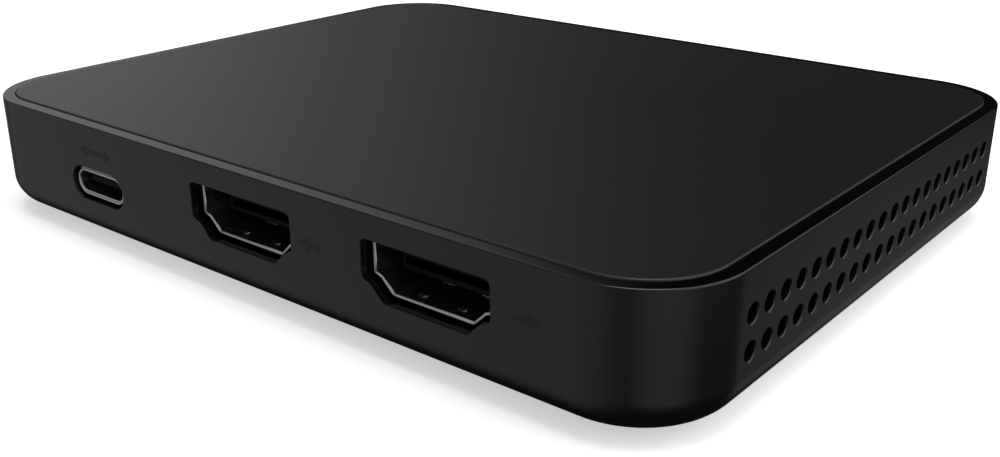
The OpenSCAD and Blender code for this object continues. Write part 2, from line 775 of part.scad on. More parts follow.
module display_insulator(x) {
    back = display_mouth + display_len;
    tip = display_mouth + display_tongue_y;
    middle = display_floor + display_tongue_z + display_tongue_t / 2;
    slot_z = middle + display_tongue_t / 2 - tongue_slot_top - tongue_slot_h / 2;
    color("#17181a") on_feet() difference() {
        union() {
            pushed_back(x, back - display_block_len, display_floor, display_block_len)
                polygon(grown(display_outline, -insulator_gap));
            translate([x, tip, middle])
                tongue_bar(display_tongue_w, display_tongue_t, back - tip, tongue_r, tongue_chamfer);
        }
        display_contact_rows(x);
        pushed_back(x, tip - past, slot_z, past + tongue_slot_y)
            slot_outline(display_tongue_w - 2 * tongue_slot_end, tongue_slot_h);
    }
}

module display_in_shell() { display_shell(display_in_x); }
module display_in_insulator() { display_insulator(display_in_x); }
module display_in_contacts() { display_contacts(display_in_x); }
module display_out_shell() { display_shell(display_out_x); }
module display_out_insulator() { display_insulator(display_out_x); }
module display_out_contacts() { display_contacts(display_out_x); }

module data_shell() {
    color("#b9bcc0") on_feet() {
        difference() {
            pushed_back(data_x, data_mouth, data_middle, data_len) data_outline(shell_t);
            pushed_back(data_x, data_mouth - past, data_middle, data_len + 2 * past) data_outline(0);
        }
        at_legs(data_x, data_leg_x, data_mouth, data_leg_y) leg(data_middle);
    }
}

module data_contact_rows() {
    tip = data_mouth + data_tongue_y + contact_tip_gap;
    back = data_mouth + data_len;
    t = data_contact_t;
    under = data_middle - data_tongue_t / 2;
    contact_row(data_x, data_rows[0], data_pitch, data_contact_w)
        contact_path(tip, back + tail_high, under + data_tongue_t - data_groove + t, t);
    contact_row(data_x, data_rows[1], data_pitch, data_contact_w)
        contact_path(tip, back + tail_low, under + data_groove, t);
}

module data_contacts() {
    color("#c8a24a") on_feet() data_contact_rows();
}

module data_insulator() {
    back = data_mouth + data_len;
    tip = data_mouth + data_tongue_y;
    color("#17181a") on_feet() difference() {
        union() {
            pushed_back(data_x, back - data_block_len, data_middle, data_block_len)
                data_outline(-insulator_gap);
            pushed_back(data_x, tip, data_middle, back - tip)
                round_rect(data_tongue_w, data_tongue_t, data_tongue_t / 4);
        }
        data_contact_rows();
    }
}

// Puts a part on the board's upper face at each place of a list
module on_board(places) {
    on_feet() for (at = places) translate([at.x, at.y, board_top]) children();
}

// Box that stands on its footprint's middle
module block(size) {
    translate([-size.x / 2, -size.y / 2, 0]) cube(size);
}

// Flat chip with a row of leads under each of its four edges
module flat_chip(w) {
    leads = floor((w - 2 * lead_pitch) / lead_pitch);
    lead_w = lead_pitch / 2;
    translate([0, 0, chip_lift]) block([w, w, flat_h - chip_lift]);
    for (turn = [0, 90, 180, 270], i = [0:leads - 1]) rotate([0, 0, turn])
        translate([(i - (leads - 1) / 2) * lead_pitch, (w - lead_len) / 2 + lead_out, 0])
        block([lead_w, lead_len, lead_t]);
}

// Chip with a grid-array carrier and a smaller moulded top
module carrier_chip(size) {
    block([size.x, size.y, carrier_t]);
    block([size.x - 2 * carrier_edge, size.y - 2 * carrier_edge, size.z]);
}

module capture_processor() {
    color("#1d1f22") on_board([processor_at]) carrier_chip([processor_w, processor_w, processor_h]);
}

module thermal_pad() {
    color("#8aa0b5") on_board([processor_at])
        translate([0, 0, processor_h]) block([processor_w, processor_w, pad_t]);
}

module heat_sink() {
    step = (sink_w - fin_t) / (fin_count - 1);
    color("#3a3c3f") on_feet() translate([processor_at.x, processor_at.y, sink_under]) {
        block([sink_w, sink_w, sink_base_t]);
        for (i = [0:fin_count - 1]) translate([-sink_w / 2 + i * step, -sink_w / 2, 0])
            cube([fin_t, sink_w, sink_base_t + fin_h]);
    }
}

module memory_chips() {
    color("#1d1f22") on_board(memory_at) carrier_chip(memory_size);
}

module firmware_flash() {
    lead_y = (flash_size.y + flash_lead.y) / 2 - flash_lead_in;
    color("#1d1f22") on_board([flash_at]) {
        translate([0, 0, chip_lift]) block([flash_size.x, flash_size.y, flash_size.z - chip_lift]);
        for (i = [-1.5:1.5], side = [-1, 1])
            translate([i * flash_pitch, side * lead_y, 0]) block(flash_lead);
    }
}

module display_receiver() {
    color("#1d1f22") on_board([receiver_at]) flat_chip(receiver_w);
}
module display_repeater() {
    color("#1d1f22") on_board([repeater_at]) flat_chip(bridge_w);
}
module data_bridge() {
    color("#1d1f22") on_board([bridge_at]) flat_chip(bridge_w);
}

module crystals() {
    color("#c4c7ca") on_board(crystal_at) {
        block([crystal_size.x, crystal_size.y, crystal_size.z / 2]);
        block([crystal_size.x - 2 * crystal_seam, crystal_size.y - 2 * crystal_seam, crystal_size.z]);
    }
}

module power_inductors() {
    color("#4a4c4e") on_board(inductor_at) {
        translate([0, 0, chip_lift]) block([inductor_w, inductor_w, inductor_h - chip_lift]);
        for (x = [-1, 1]) translate([x * (inductor_w - terminal_size.x) / 2, 0, 0]) block(terminal_size);
    }
}

module voltage_regulators() {
    color("#1d1f22") on_board(regulator_at) flat_chip(regulator_w);
}

module bulk_capacitors() {
    color("#c9a85a") on_board(bulk_at) block(bulk_size);
}

// Rows of small parts: each place is the middle of a row of small_count parts
module small_rows(rows, size) {
    on_board([
        for (row = rows, i = [0:small_count - 1])
            row + [(i - (small_count - 1) / 2) * small_pitch, 0]
    ]) block(size);
}

module ceramic_capacitors() {
    color("#a98d6b") small_rows(ceramic_rows, ceramic_size);
}
module chip_resistors() {
    color("#202225") small_rows(resistor_rows, resistor_size);
}

// Protection parts behind each display socket
module behind_displays(y, offsets, size) {
    on_board([for (x = [display_in_x, display_out_x], dx = offsets) [x + dx, y]]) block(size);
}
module surge_arrays() {
    color("#1d1f22") behind_displays(surge_y, surge_x, surge_size);
}
module line_chokes() {
    color("#6b5a4a") behind_displays(choke_y, choke_x, choke_size);
}

lower_case();
top_cover();
rubber_feet();
cover_screws();
main_board();
board_screws();
display_in_shell();
display_in_insulator();
display_in_contacts();
display_out_shell();
display_out_insulator();
display_out_contacts();
data_shell();
data_insulator();
data_contacts();
capture_processor();
thermal_pad();
heat_sink();
memory_chips();
firmware_flash();
display_receiver();
display_repeater();
data_bridge();
crystals();
power_inductors();
voltage_regulators();
bulk_capacitors();
ceramic_capacitors();
chip_resistors();
surge_arrays();
line_chokes();
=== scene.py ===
# %% [markdown]
# # A video capture box
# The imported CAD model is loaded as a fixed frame, in metres. Every piece made here is placed from
# that frame, so nothing has to be fitted by eye. Lengths are written in millimetres, as on a drawing,
# and turned to metres where a mesh or a material is made.

# %% Load the frame
import math

import bmesh
import bpy
from mathutils import Matrix, Vector


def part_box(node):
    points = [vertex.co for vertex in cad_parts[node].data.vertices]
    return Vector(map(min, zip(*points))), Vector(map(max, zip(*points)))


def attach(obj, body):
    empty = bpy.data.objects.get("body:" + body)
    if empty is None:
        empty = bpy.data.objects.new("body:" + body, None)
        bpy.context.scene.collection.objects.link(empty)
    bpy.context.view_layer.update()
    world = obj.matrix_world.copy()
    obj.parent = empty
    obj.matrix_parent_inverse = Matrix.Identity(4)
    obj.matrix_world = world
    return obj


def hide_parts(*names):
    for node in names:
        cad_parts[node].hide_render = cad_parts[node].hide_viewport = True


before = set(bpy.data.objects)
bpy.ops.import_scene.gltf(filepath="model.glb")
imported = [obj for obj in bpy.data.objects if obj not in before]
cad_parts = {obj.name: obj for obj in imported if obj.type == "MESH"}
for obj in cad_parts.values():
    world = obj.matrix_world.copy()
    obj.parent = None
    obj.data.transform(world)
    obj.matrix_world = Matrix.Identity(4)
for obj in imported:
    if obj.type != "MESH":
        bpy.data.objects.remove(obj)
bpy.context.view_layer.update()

MM = 0.001


# %% [markdown]
# ## The camera
# The camera stands where the photograph was taken. Its place and its lens come from the box itself:
# straight edges, round corners and evenly spaced vents together fix one viewpoint. Azimuth is counted
# from the front face, elevation from the table, and the lens is for a 36 mm wide sensor.

# %% Place the camera
CAMERA_AT = Vector((89.341, -108.706, 51.575))
CAMERA_AZIMUTH = math.radians(39.054)
CAMERA_ELEVATION = math.radians(21.428)
CAMERA_ROLL = math.radians(-0.053)
LENS_MM = 42.01
SENSOR_MM = 36.0
NEAREST_M = 0.01

back = Vector((
    math.sin(CAMERA_AZIMUTH) * math.cos(CAMERA_ELEVATION),
    -math.cos(CAMERA_AZIMUTH) * math.cos(CAMERA_ELEVATION),
    math.sin(CAMERA_ELEVATION),
))
level_right = Vector((0, 0, 1)).cross(back).normalized()
level_up = back.cross(level_right)
right = level_right * math.cos(CAMERA_ROLL) + level_up * math.sin(CAMERA_ROLL)
up = back.cross(right)

camera_data = bpy.data.cameras.new("camera")
camera_data.lens = LENS_MM
camera_data.sensor_fit = "HORIZONTAL"
camera_data.sensor_width = SENSOR_MM
camera_data.clip_start = NEAREST_M
camera = bpy.data.objects.new("camera", camera_data)
bpy.context.scene.collection.objects.link(camera)
facing = Matrix((right, up, back)).transposed().to_4x4()
camera.matrix_world = Matrix.Translation(CAMERA_AT * MM) @ facing
bpy.context.scene.camera = camera
print("Camera", round((CAMERA_AT * MM).length, 3), "m from the box's middle")

# %% [markdown]
# ## Colours and nodes
# Colours are written as sRGB hex values, the way a paint chart gives them, and one function turns
# them into the linear values that shaders work with. A second function adds a node with its settings
# and links, so that a material reads from top to bottom as one list. An input may be a plain value,
# another node's output, or a list of outputs where a socket takes several.


# %% Two small helpers
def linear(hex_colour):
    channels = [int(hex_colour[i:i + 2], 16) / 255 for i in (1, 3, 5)]
    curve = [c / 12.92 if c <= 0.04045 else ((c + 0.055) / 1.055) ** 2.4 for c in channels]
    return (*curve, 1.0)


def add(tree, kind, inputs=None, **settings):
    node = tree.nodes.new(kind)
    for name, value in settings.items():
        setattr(node, name, value)
    for name, value in (inputs or {}).items():
        for source in value if isinstance(value, list) else [value]:
            if isinstance(source, bpy.types.NodeSocket):
                tree.links.new(source, node.inputs[name])
            else:
                node.inputs[name].default_value = source
    return node


print("Case black in linear values:", [round(c, 4) for c in linear("#0a0a0b")[:3]])

# %% [markdown]
# ## Moulded plastic
# The case and the cover are injection moulded from a black blend of polycarbonate and ABS. The mould
# is spark eroded, so the skin has a very fine, even grain that spreads a highlight into a soft sheen,
# while the rim is left as the polished steel of the mould made it. One function makes all moulded
# finishes: a noise at the grain's size tilts the surface a little, and a slow one, as wide as the flow
# of the melt, drifts the colour and the gloss. Pressed, fired and printed finishes are made up alike,
# at other sizes. The grain is drawn coarser than the real 0.05 mm, so that it shows in a close view.

# %% Moulded plastics and rubber
METRE_MM = 1000.0
FLOW_MM = 30.0
PLASTIC_IOR = 1.5


def moulded(name, deep, light, roughness, drift, grain_mm, grain_depth_mm, specular=0.5):
    material = bpy.data.materials.new(name)
    material.use_nodes = True
    tree = material.node_tree
    shader = tree.nodes["Principled BSDF"]
    place = add(tree, "ShaderNodeTexCoord").outputs["Object"]
    grain = add(tree, "ShaderNodeTexNoise", {
        "Vector": place, "Scale": METRE_MM / grain_mm, "Detail": 2.0,
    })
    flow = add(tree, "ShaderNodeTexNoise", {
        "Vector": place, "Scale": METRE_MM / FLOW_MM, "Detail": 3.0,
    })
    tint = add(tree, "ShaderNodeValToRGB", {"Fac": flow.outputs["Fac"]})
    tint.color_ramp.elements[0].color = linear(deep)
    tint.color_ramp.elements[1].color = linear(light)
    gloss = add(tree, "ShaderNodeMapRange", {
        "Value": flow.outputs["Fac"], "To Min": roughness - drift, "To Max": roughness + drift,
    })
    bump = add(tree, "ShaderNodeBump", {
        "Height": grain.outputs["Fac"], "Strength": 1.0, "Distance": grain_depth_mm * MM,
    })
    tree.links.new(tint.outputs["Color"], shader.inputs["Base Color"])
    tree.links.new(gloss.outputs["Result"], shader.inputs["Roughness"])
    tree.links.new(bump.outputs["Normal"], shader.inputs["Normal"])
    shader.inputs["IOR"].default_value = PLASTIC_IOR
    shader.inputs["Specular IOR Level"].default_value = specular
    return material


# Satin grain: a soft sheen that rolls round the corners
case_satin = moulded("moulded_pc_abs_satin", "#09090a", "#0b0b0c", 0.30, 0.02, 0.2, 0.0015)
# Fine matte grain: an even, wide gradient with no clear highlight
cover_matte = moulded("moulded_pc_abs_fine_matte", "#080809", "#0a0a0b", 0.42, 0.02, 0.15, 0.002)
# Polished mould steel: a nearly mirror-like thin line
rim_polish = moulded("moulded_pc_abs_polished", "#020202", "#030303", 0.08, 0.01, 4.0, 0.0008)
# Glass-filled socket plastic: dull black, hardly any gloss
socket_black = moulded(
    "moulded_black_liquid_crystal_polymer", "#060607", "#09090a", 0.6, 0.04, 0.2, 0.003, specular=0.15,
)
# Soft rubber: dark grey with no highlight to speak of
foot_rubber = moulded("moulded_black_rubber", "#0e0e0f", "#141415", 0.72, 0.06, 0.25, 0.01)
# Moulded epoxy of chip bodies: charcoal with a dull sheen
chip_epoxy = moulded("moulded_black_epoxy", "#141517", "#1a1b1d", 0.5, 0.06, 0.1, 0.004)
# Filled silicone sheet: chalky blue grey
pad_silicone = moulded("pressed_blue_grey_silicone", "#768ba0", "#8399ae", 0.65, 0.06, 0.4, 0.01)
# Pressed and sintered powder: grainy dark grey
ferrite = moulded("pressed_ferrite", "#343537", "#424345", 0.6, 0.08, 0.2, 0.008)
# Fired ceramic: eggshell tan
ceramic = moulded("fired_tan_ceramic", "#9b7954", "#ae8b64", 0.5, 0.08, 0.15, 0.004)
# Curtain coated lacquer: smooth near black with slow waves
board_mask = moulded("black_solder_mask_on_laminate", "#0a0b0b", "#0e0f0f", 0.4, 0.06, 0.8, 0.01)
# Pad print: flat black that shows only by its lack of sheen
mark_ink = moulded("black_pad_print_ink", "#060606", "#070707", 0.5, 0.03, 0.2, 0.002)
print("Moulded finishes:", case_satin.name, cover_matte.name, rim_polish.name)

# %% [markdown]
# ## Metal
# The sockets' shells are stamped from thin steel and plated with nickel, and the contacts in them are
# copper alloy with a flash of gold. Both come out of the press with faint drawing marks along the
# strip, which stretch the highlights. A noise pattern that is squeezed along one axis makes the marks.

# %% Plated and anodised metals
STRIP_STRETCH = 0.1


def plated(name, colour, roughness, drift, mark_mm):
    material = bpy.data.materials.new(name)
    material.use_nodes = True
    tree = material.node_tree
    shader = tree.nodes["Principled BSDF"]
    place = add(tree, "ShaderNodeTexCoord").outputs["Object"]
    along = add(tree, "ShaderNodeMapping", {"Vector": place, "Scale": (1.0, STRIP_STRETCH, 1.0)})
    marks = add(tree, "ShaderNodeTexNoise", {
        "Vector": along.outputs["Vector"], "Scale": METRE_MM / mark_mm, "Detail": 4.0,
    })
    gloss = add(tree, "ShaderNodeMapRange", {
        "Value": marks.outputs["Fac"], "To Min": roughness - drift, "To Max": roughness + drift,
    })
    tree.links.new(gloss.outputs["Result"], shader.inputs["Roughness"])
    shader.inputs["Base Color"].default_value = linear(colour)
    shader.inputs["Metallic"].default_value = 1.0
    return material


# Nickel: a pale, slightly warm grey with soft highlights
shell_nickel = plated("nickel_plated_stamped_steel", "#c6c6c5", 0.28, 0.04, 0.3)
# Gold flash: a yellow glint
contact_gold = plated("gold_flashed_copper_alloy", "#d9b15e", 0.25, 0.08, 0.2)
# Bright zinc: a cool, slightly clouded grey
screw_zinc = plated("zinc_plated_steel", "#b9bcc0", 0.35, 0.1, 0.3)
# Dyed anodised layer: dark, satin metal
sink_anodised = plated("black_anodised_aluminium", "#2c2d30", 0.42, 0.1, 0.4)
print("Metals:", shell_nickel.name, contact_gold.name, screw_zinc.name, sink_anodised.name)

# %% [markdown]
# ## The inner pieces
# The board, its chips and its small parts keep their CAD shapes: they are flat, sharp-edged things,
# and little more than the sockets shows from outside. Each gets the finish of its real material, and
# every chip is black epoxy unless the list says otherwise.

# %% Finish the CAD nodes
DISPLAYS = ("display_in", "display_out")
SOCKETS = (*DISPLAYS, "data")
NODE_FINISH = {
    "rubber_feet": foot_rubber,
    "cover_screws": screw_zinc,
    "board_screws": screw_zinc,
    "main_board": board_mask,
    "thermal_pad": pad_silicone,
    "heat_sink": sink_anodised,
    "crystals": screw_zinc,
    "power_inductors": ferrite,
    "line_chokes": ferrite,
    "bulk_capacitors": ceramic,
    "ceramic_capacitors": ceramic,
    "lower_case": case_satin,
    "top_cover": cover_matte,
    **{f"{socket}_shell": shell_nickel for socket in SOCKETS},
    **{f"{socket}_insulator": socket_black for socket in SOCKETS},
    **{f"{socket}_contacts": contact_gold for socket in SOCKETS},
}
for name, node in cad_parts.items():
    for slot in node.material_slots:
        slot.material = NODE_FINISH.get(name, chip_epoxy)
print("Finished", len(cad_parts), "CAD nodes")

# %% [markdown]
# ## Outlines
# Every wall of the case and of the cover follows the same rounded rectangle, only further in or out.
# So one function gives that outline at any inset and height, and another joins such rings into a
# skin: a list of insets and heights is then the whole section of a wall. Loops and bevels by hand
# would give the same mesh, but the section can be read like a drawing.

# %% Rings and skins
case_low, case_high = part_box("lower_case")
CASE_W = (case_high.x - case_low.x) / MM
CASE_D = (case_high.y - case_low.y) / MM
CASE_Z = case_low.z / MM
CASE_TOP = case_high.z / MM
CORNER_R = 10.0
CORNER_STEPS = 28


def ring(inset, z):
    radius = CORNER_R - inset
    middle = Vector((CASE_W / 2 - CORNER_R, CASE_D / 2 - CORNER_R))
    points = []
    for corner, (sx, sy) in enumerate(((1, 1), (-1, 1), (-1, -1), (1, -1))):
        for step in range(CORNER_STEPS + 1):
            turn = math.pi / 2 * (corner + step / CORNER_STEPS)
            x = sx * middle.x + radius * math.cos(turn)
            y = sy * middle.y + radius * math.sin(turn)
            points.append(Vector((x, y, z)))
    return points


def arc(middle, radius, start_deg, end_deg, steps):
    turns = [math.radians(start_deg + (end_deg - start_deg) * i / steps) for i in range(steps + 1)]
    return [(middle[0] + radius * math.cos(t), middle[1] + radius * math.sin(t)) for t in turns]


def skin(rings):
    mesh = bmesh.new()
    rows = [[mesh.verts.new(point * MM) for point in points] for points in rings]
    count = len(rows[0])
    for lower, upper in zip(rows, rows[1:]):
        for i in range(count):
            j = (i + 1) % count
            mesh.faces.new((lower[i], lower[j], upper[j], upper[i]))
    mesh.faces.new(list(reversed(rows[0])))
    mesh.faces.new(rows[-1])
    bmesh.ops.recalc_face_normals(mesh, faces=mesh.faces)
    return mesh


def to_object(mesh, name, *materials):
    data = bpy.data.meshes.new(name)
    mesh.to_mesh(data)
    mesh.free()
    piece = bpy.data.objects.new(name, data)
    bpy.context.scene.collection.objects.link(piece)
    for material in materials:
        data.materials.append(material)
    return piece


print("Case", round(CASE_W, 2), "x", round(CASE_D, 2), "mm, top at", round(CASE_TOP, 2))

# %% [markdown]
# ## The case
# The tub is moulded in one go: a floor, four walls with a generous round below, and a narrow top edge
# that is polished in the mould while the rest is grained. Its section is listed from the middle of
# the underside, round the outside, over the rim and down the inside, so one skin makes the whole tub.

# %% The case's section
WALL = 1.5
FLOOR = 1.5
BOTTOM_R = 3.7
INNER_R = BOTTOM_R - WALL
RIM_R = 0.2
RIM_INNER_R = 0.1
COVER_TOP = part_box("top_cover")[1].z / MM
COVER_T = 1.6
COVER_UNDER = COVER_TOP - COVER_T
LEDGE_W = 1.0
LEDGE_H = 0.8

section = [
    *arc((BOTTOM_R, CASE_Z + BOTTOM_R), BOTTOM_R, 270, 180, steps=14),
    *arc((RIM_R, CASE_TOP - RIM_R), RIM_R, 180, 90, steps=6),
    *arc((WALL - RIM_INNER_R, CASE_TOP - RIM_INNER_R), RIM_INNER_R, 90, 0, steps=4),
    (WALL, COVER_UNDER),
    (WALL + LEDGE_W, COVER_UNDER),
    (WALL + LEDGE_W, COVER_UNDER - LEDGE_H),
    (WALL, COVER_UNDER - LEDGE_H),
    *arc((WALL + INNER_R, CASE_Z + FLOOR + INNER_R), INNER_R, 180, 270, steps=8),
]
case = to_object(skin([ring(inset, z) for inset, z in section]), "case_shell", case_satin, rim_polish)
print("Case section of", len(section), "points")

# %% [markdown]
# ## Joining and cutting
# A moulded tub carries posts and ribs that grow out of its floor, and holes that go through it. Both
# are plain turned or square forms, so each set is one mesh, joined to the tub or cut from it by a
# Boolean modifier. Its result is kept as a plain mesh, because the later steps work on real faces.

# %% Tools for joining and cutting
ROD_SIDES = 48


def keep_result(piece):
    made = bpy.data.meshes.new_from_object(piece.evaluated_get(bpy.context.evaluated_depsgraph_get()))
    old = piece.data
    piece.modifiers.clear()
    piece.data = made
    bpy.data.meshes.remove(old)


def boolean(piece, operation, tools):
    for tool in tools:
        modifier = piece.modifiers.new(operation.lower(), "BOOLEAN")
        modifier.operation = operation
        modifier.solver = "EXACT"
        modifier.object = tool
    keep_result(piece)
    for tool in tools:
        tool_mesh = tool.data
        bpy.data.objects.remove(tool)
        bpy.data.meshes.remove(tool_mesh)


def rods(places, diameter, z_low, z_high):
    mesh = bmesh.new()
    radius = diameter / 2 * MM
    for x, y in places:
        middle = Vector((x, y, (z_low + z_high) / 2))
        bmesh.ops.create_cone(
            mesh, cap_ends=True, segments=ROD_SIDES, radius1=radius, radius2=radius,
            depth=(z_high - z_low) * MM, matrix=Matrix.Translation(middle * MM),
        )
    return to_object(mesh, "rods")


def blocks(places, size):
    mesh = bmesh.new()
    scale = Matrix.Diagonal((*[side * MM for side in size], 1))
    for place in places:
        bmesh.ops.create_cube(mesh, size=1.0, matrix=Matrix.Translation(Vector(place) * MM) @ scale)
    return to_object(mesh, "blocks")


print("Rods have", ROD_SIDES, "sides")

# %% [markdown]
# ## Posts, ribs and recesses
# Under the cover the tub carries four screw posts, four short standoffs for the board and a rib behind
# each socket that takes the push of a plug. Its underside has a round recess for each foot, with the
# screw's hole in the middle. Their places come from the case's corners, the board and the sockets.

# %% Places under the cover
SIDES = (-1, 1)
POST_INSET = 10.0
POST_D = 7.0
POST_TOP = CASE_Z + 8.6
STANDOFF_X = 43.5
STANDOFF_Y = 16.0
STANDOFF_D = 5.0
BOARD_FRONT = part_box("main_board")[0].y / MM
BOARD_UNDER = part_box("main_board")[0].z / MM
IN_FLOOR = CASE_Z + FLOOR / 2
RIB_W = 6.0
RIB_T = 1.4
RIB_Y = BOARD_FRONT + 4.0
RIB_H = BOARD_UNDER - IN_FLOOR
PORT_X = {socket: sum(corner.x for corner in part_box(f"{socket}_shell")) / 2 / MM for socket in SOCKETS}
POST_X = CASE_W / 2 - POST_INSET
POST_Y = CASE_D / 2 - POST_INSET
POSTS = [(sx * POST_X, sy * POST_Y) for sx in SIDES for sy in SIDES]
STANDOFFS = [(sx * STANDOFF_X, sy * STANDOFF_Y) for sx in SIDES for sy in SIDES]
RIBS = [(x, RIB_Y + RIB_T / 2, IN_FLOOR + RIB_H / 2) for x in PORT_X.values()]
print("Sockets at", [round(x, 2) for x in PORT_X.values()], "mm")

# %% [markdown]
# ## Add and drill
# A screw goes up through each post: a wide recess for the foot, a hole for the screw's head above it
# and a narrow one for its shank. All that stands is joined first and all that is drilled comes after,
# so no hole is closed again by a rod that is joined later.

# %% Posts, standoffs, ribs and recesses
PAST = 1.0
FOOT_HOLE_D = 9.2
FOOT_HOLE_TOP = CASE_Z + 0.6
HEAD_HOLE_D = 4.2
HEAD_HOLE_TOP = CASE_Z + 3.5
SHANK_HOLE_D = 2.4
GRIP_HOLE_D = 2.04

boolean(case, "UNION", [
    rods(POSTS, POST_D, IN_FLOOR, POST_TOP),
    rods(STANDOFFS, STANDOFF_D, IN_FLOOR, BOARD_UNDER),
    blocks(RIBS, (RIB_W, RIB_T, RIB_H)),
])
boolean(case, "DIFFERENCE", [
    rods(POSTS, FOOT_HOLE_D, CASE_Z - PAST, FOOT_HOLE_TOP),
    rods(POSTS, HEAD_HOLE_D, CASE_Z - PAST, HEAD_HOLE_TOP),
    rods(POSTS, SHANK_HOLE_D, CASE_Z - PAST, POST_TOP + PAST),
    rods(STANDOFFS, GRIP_HOLE_D, CASE_Z + FLOOR, BOARD_UNDER + PAST),
])
print("Case with posts and ribs:", len(case.data.polygons), "faces")

# %% [markdown]
# ## Outlines of the sockets
# A display socket has a stepped outline with slanted lower corners, and the data socket a long round
# one, so that a plug fits either way up. The display outline is a list of its corners. One function
# grows it by a distance and turns outer corners into arcs, as an offset in a drawing program would.

# %% Two outlines that grow
DISPLAY_W = 14.0
DISPLAY_H = 4.55
DISPLAY_OUTLINE = [
    (-4.8, 0), (4.8, 0), (6.15, 1.35), (DISPLAY_W / 2, 1.65),
    (DISPLAY_W / 2, DISPLAY_H), (-DISPLAY_W / 2, DISPLAY_H), (-DISPLAY_W / 2, 1.65), (-6.15, 1.35),
]
DATA_W = 8.34
DATA_H = 2.56
ARC_STEPS = 8


def grown(points, distance):
    made = []
    for i, point in enumerate(points):
        here = Vector(point)
        before = (here - Vector(points[i - 1])).normalized()
        after = (Vector(points[(i + 1) % len(points)]) - here).normalized()
        side_a = Vector((before.y, -before.x))
        side_b = Vector((after.y, -after.x))
        if before.cross(after) > 0:
            start = math.degrees(math.atan2(side_a.y, side_a.x))
            turn = math.degrees(side_a.angle(side_b))
            made += arc(here, distance, start, start + turn, ARC_STEPS)
        else:
            made.append(tuple(here + distance * (side_a + side_b) / (1 + side_a.dot(side_b))))
    return made


def display_outline(distance):
    return grown(DISPLAY_OUTLINE, distance)


def data_outline(distance):
    radius = DATA_H / 2 + distance
    half = (DATA_W - DATA_H) / 2
    right_end = arc((half, 0), radius, -90, 90, 2 * ARC_STEPS)
    left_end = arc((-half, 0), radius, 90, 270, 2 * ARC_STEPS)
    return right_end + left_end


print("Display outline of", len(display_outline(1.0)), "points, data outline of", len(data_outline(1.0)))

# %% [markdown]
# ## Socket cut-outs
# Each socket looks out through a cut-out that follows its outline with a little clearance. The wall
# is thinned behind it to a lip, so the gap round the socket is dark, and the lip's outer edge is
# softly rounded. The cutter is a skin of outlines at growing depth. Sockets are soldered by machine
# and never sit quite true: the data socket stands a little up and to the right in its hole, so the
# hole lies a little down and to the left of it.

# %% Cut the sockets' openings
SHELL_T = 0.3
FRONT_Y = -CASE_D / 2
PORT_LIP = 0.75
PORT_RELIEF = 0.3
PORT_EDGE_R = 0.1
OUTLINES = {"display_in": display_outline, "display_out": display_outline, "data": data_outline}
CLEARANCE = {"display_in": 0.35, "display_out": 0.35, "data": 0.38}
OFF_CENTRE = {"display_in": (0, -0.04), "display_out": (0, -0.04), "data": (-0.15, -0.2)}
OUTLINE_H = {"display_in": DISPLAY_H, "display_out": DISPLAY_H, "data": DATA_H / 2}


def port_ring(socket, y, distance):
    base_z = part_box(f"{socket}_shell")[1].z / MM - SHELL_T - OUTLINE_H[socket]
    off_x, off_z = OFF_CENTRE[socket]
    middle = Vector((PORT_X[socket] + off_x, y, base_z + off_z))
    return [middle + Vector((px, 0, pz)) for px, pz in OUTLINES[socket](distance)]


def port_cutter(socket):
    outer = SHELL_T + CLEARANCE[socket]
    profile = [
        (-PAST, outer + PORT_EDGE_R),
        *arc((PORT_EDGE_R, outer + PORT_EDGE_R), PORT_EDGE_R, 180, 270, steps=5),
        (PORT_LIP, outer),
        (PORT_LIP, outer + PORT_RELIEF),
        (WALL + PAST, outer + PORT_RELIEF),
    ]
    rings = [port_ring(socket, FRONT_Y + depth, distance) for depth, distance in profile]
    return to_object(skin(rings), "port_cutter")


boolean(case, "DIFFERENCE", [port_cutter(socket) for socket in SOCKETS])
print("Case with socket openings:", len(case.data.polygons), "faces")

# %% [markdown]
# ## A tree for the vents
# Two rows of small round holes run along each side wall and let the warm air out. A Geometry Nodes
# tree drills them: a grid of points stands on the wall, each point carries a drill and a countersink,
# and the two sets are cut from the tub. The same tree gives the polished finish to the rim, which it
# finds by its height. Placing eighty cutters in a loop would do as well, but here a pitch or a count
# can be changed in one place and the wall follows.

# %% The vent tree
VENT_SIZES = (
    "Row length", "Row gap", "Wall face", "Middle height", "Hole radius", "Drill length",
    "Countersink depth", "Countersink radius", "Rim height",
)
VENT_SIDES = 32
VENT_ROWS = 2


def tree_with_inputs(name, sizes, count=None):
    tree = bpy.data.node_groups.new(name, "GeometryNodeTree")
    tree.interface.new_socket("Geometry", in_out="INPUT", socket_type="NodeSocketGeometry")
    for size in sizes:
        tree.interface.new_socket(size, in_out="INPUT", socket_type="NodeSocketFloat")
    if count:
        tree.interface.new_socket(count, in_out="INPUT", socket_type="NodeSocketInt")
    tree.interface.new_socket("Geometry", in_out="OUTPUT", socket_type="NodeSocketGeometry")
    return tree


